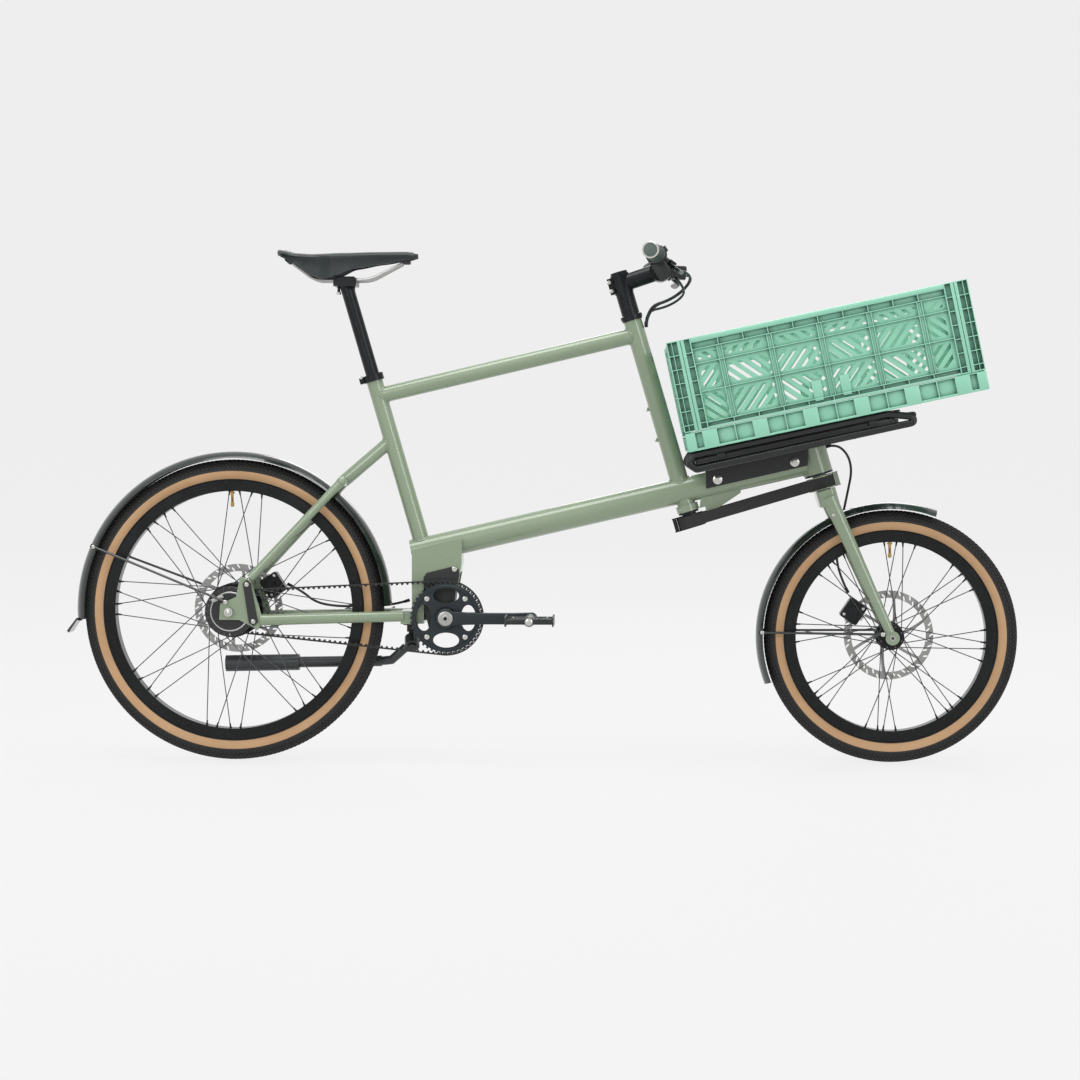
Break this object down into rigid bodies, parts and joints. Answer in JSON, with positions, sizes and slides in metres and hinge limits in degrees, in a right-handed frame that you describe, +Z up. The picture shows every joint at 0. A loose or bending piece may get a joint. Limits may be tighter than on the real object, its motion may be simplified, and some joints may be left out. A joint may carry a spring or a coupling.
{
  "type": "cargo bicycle",
  "caption": "Front-loading cargo bicycle with a belt-steered small front wheel, belt drive, fenders, a cargo rack and a folding crate.",
  "frame": {"origin": "on the ground at the middle of the overall length and width", "axes": "+X forward, +Z up, -Y is the right-hand side with the drive belt"},
  "size_m": [1.9106, 0.6452, 1.027],
  "materials": {
    "frame_green": "gloss sage green paint",
    "black_casting": "matt black cast metal",
    "black_anodised": "satin black anodised",
    "steel": "brushed",
    "spoke_steel": "black spokes",
    "black_plastic": "satin moulded plastic",
    "fender_green": "gloss very dark green",
    "rack_black": "gloss black powder coat",
    "crate_mint": "moulded polypropylene",
    "belt_rubber": "ribbed belt",
    "cable_sheath": "smooth sheath",
    "tyre": "black tread and tan sidewall",
    "butyl": "inner tube with a brass valve",
    "rim_black": "black anodised",
    "pedal_metal": "worn dark metal",
    "grip_rubber": "dark green-grey",
    "leather": "dark leather",
    "stand_grey": "dark grey"
  },
  "bodies": {
    "frame": {"main_tube": "frame_green", "seat_tube": "frame_green", "top_tube": "frame_green", "head_column": "frame_green", "front_head_tube": "frame_green", "seat_stays": "frame_green", "chain_stays": "frame_green", "motor_bracket": "frame_green", "bb_housing": "black_casting", "splitter_plate": "black_casting", "steering_bearings": "black_anodised", "rear_axle": "steel", "hub_interface": "black_plastic", "rear_caliper": "black_anodised", "rear_fender": "fender_green", "stand_bracket": "black_casting", "seat_clamp": "black_anodised", "cargo_rack": "rack_black", "crate_base": "crate_mint", "crate_side_walls": "crate_mint", "drive_belt": "belt_rubber", "steering_belt": "belt_rubber", "control_cables": "cable_sheath"},
    "crate_front_end": {"crate_front_wall": "crate_mint"},
    "crate_rear_end": {"crate_rear_wall": "crate_mint"},
    "rear_wheel": {"rear_tyre": "tyre", "rear_inner_tube": "butyl", "rear_rim": "rim_black", "rear_spokes": "spoke_steel", "rear_hub": "black_anodised", "rear_rotor": "steel"},
    "hub_sprocket": {"rear_sprocket": "black_casting"},
    "front_wheel": {"front_tyre": "tyre", "front_inner_tube": "butyl", "front_rim": "rim_black", "front_spokes": "spoke_steel", "front_hub": "black_anodised", "front_rotor": "steel"},
    "crankset": {"front_sprocket": "black_anodised", "cranks": "black_anodised"},
    "right_pedal": {"pedal_right": "pedal_metal"},
    "left_pedal": {"pedal_left": "pedal_metal"},
    "steering_column": {"steerer": "black_anodised", "spacers": "black_anodised", "stem": "black_anodised", "handlebar": "black_anodised", "grips": "grip_rubber", "lever_bodies": "black_casting", "headlamp": "black_plastic"},
    "twist_grip": {"twist_sleeve": "grip_rubber"},
    "right_lever": {"brake_lever_right": "black_anodised"},
    "left_lever": {"brake_lever_left": "black_anodised"},
    "fork_assembly": {"fork": "frame_green", "front_axle": "steel", "front_caliper": "black_anodised", "front_fender": "fender_green"},
    "saddle_post": {"seatpost": "black_anodised", "saddle_rails": "steel", "saddle": "leather"},
    "stand": {"stand_leg": "stand_grey"}
  },
  "joints": [
    {"name": "rear_wheel_spin", "type": "hinge", "parent": "frame", "child": "rear_wheel", "pos_m": [-0.61775, 0, 0.3035], "axis": [0, 1, 0], "continuous": true},
    {"name": "crank_spin", "type": "hinge", "parent": "frame", "child": "crankset", "pos_m": [-0.18575, 0, 0.291], "axis": [0, 1, 0], "continuous": true, "deforming": ["drive_belt"]},
    {"name": "hub_sprocket_spin", "type": "hinge", "parent": "frame", "child": "hub_sprocket", "pos_m": [-0.61775, 0, 0.3035], "axis": [0, 1, 0], "continuous": true, "deforming": ["drive_belt"]},
    {"name": "right_pedal_spin", "type": "hinge", "parent": "crankset", "child": "right_pedal", "pos_m": [-0.01575, 0, 0.291], "axis": [0, 1, 0], "continuous": true},
    {"name": "left_pedal_spin", "type": "hinge", "parent": "crankset", "child": "left_pedal", "pos_m": [-0.35575, 0, 0.291], "axis": [0, 1, 0], "continuous": true},
    {"name": "fork_steer", "type": "hinge", "parent": "frame", "child": "fork_assembly", "pos_m": [0.56362, 0, 0.56051], "axis": [-0.2823, 0, 0.9593], "range_deg": [-50, 50], "deforming": ["steering_belt", "control_cables"]},
    {"name": "column_steer", "type": "hinge", "parent": "frame", "child": "steering_column", "pos_m": [0.30365, 0, 0.484], "axis": [-0.2823, 0, 0.9593], "range_deg": [-50, 50], "deforming": ["steering_belt", "control_cables"]},
    {"name": "front_wheel_spin", "type": "hinge", "parent": "fork_assembly", "child": "front_wheel", "pos_m": [0.70225, 0, 0.253], "axis": [0, 1, 0], "continuous": true},
    {"name": "twist_grip_turn", "type": "hinge", "parent": "steering_column", "child": "twist_grip", "pos_m": [0.21992, -0.318, 1.00402], "axis": [-0.1017, -0.9948, -0.0008], "range_deg": [-90, 90]},
    {"name": "right_brake_pull", "type": "hinge", "parent": "steering_column", "child": "right_lever", "pos_m": [0.26204, -0.17251, 0.98361], "axis": [-0.6007, 0.0621, -0.7971], "range_deg": [0, 16], "stiffness_Nm_per_rad": 1.5},
    {"name": "left_brake_pull", "type": "hinge", "parent": "steering_column", "child": "left_lever", "pos_m": [0.26204, 0.17251, 0.98361], "axis": [0.6007, 0.0621, 0.7971], "range_deg": [0, 16], "stiffness_Nm_per_rad": 1.5},
    {"name": "saddle_height", "type": "slide", "parent": "frame", "child": "saddle_post", "axis": [-0.2807, 0, 0.9598], "range_m": [-0.1, 0.04]},
    {"name": "stand_swing", "type": "hinge", "parent": "frame", "child": "stand", "pos_m": [-0.26175, 0.04, 0.236], "axis": [0.0759, -0.7705, -0.6329], "range_deg": [0, 120.3]},
    {"name": "crate_front_fold", "type": "hinge", "parent": "frame", "child": "crate_front_end", "pos_m": [0.85558, 0, 0.768], "axis": [0, -1, 0], "range_deg": [0, 90]},
    {"name": "crate_rear_fold", "type": "hinge", "parent": "frame", "child": "crate_rear_end", "pos_m": [0.30097, 0, 0.65011], "axis": [0, 1, 0], "range_deg": [0, 90]}
  ],
  "couplings": [
    {"joint": "hub_sprocket_spin", "follows": "crank_spin", "ratio": 1.8333},
    {"joint": "column_steer", "follows": "fork_steer", "ratio": 1}
  ]
}
